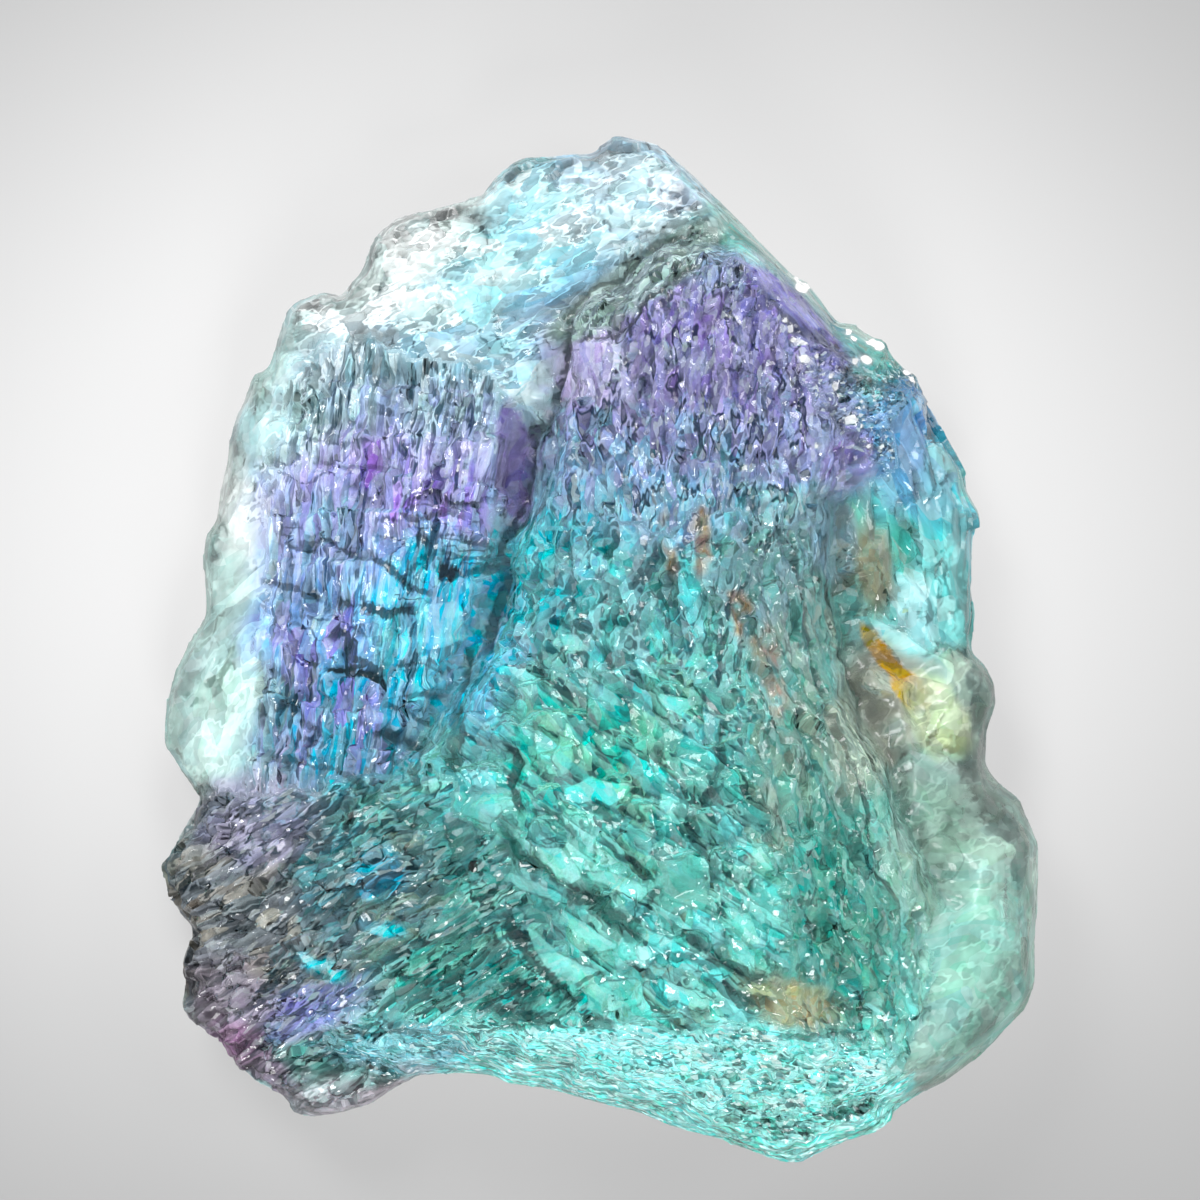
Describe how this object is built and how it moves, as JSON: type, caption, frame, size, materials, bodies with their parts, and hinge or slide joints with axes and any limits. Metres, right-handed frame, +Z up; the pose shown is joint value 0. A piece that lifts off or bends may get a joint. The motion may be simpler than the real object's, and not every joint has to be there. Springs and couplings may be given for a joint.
{
  "type": "fluorite specimen",
  "caption": "Rough rainbow fluorite crystal lying on a flat cleavage back, with a tent-shaped faceted mound on a thin plate, for a shelf or a display table.",
  "frame": {"origin": "under the middle of the specimen's box, on the surface that it lies on", "axes": "+X to the specimen's right, +Y along its length towards the top point, +Z up, the way the mound rises"},
  "size_m": [0.0598, 0.07, 0.0284],
  "materials": {
    "fluorite": "gloss"
  },
  "bodies": {
    "root": {"fluorite_crystal": "fluorite"}
  },
  "joints": []
}
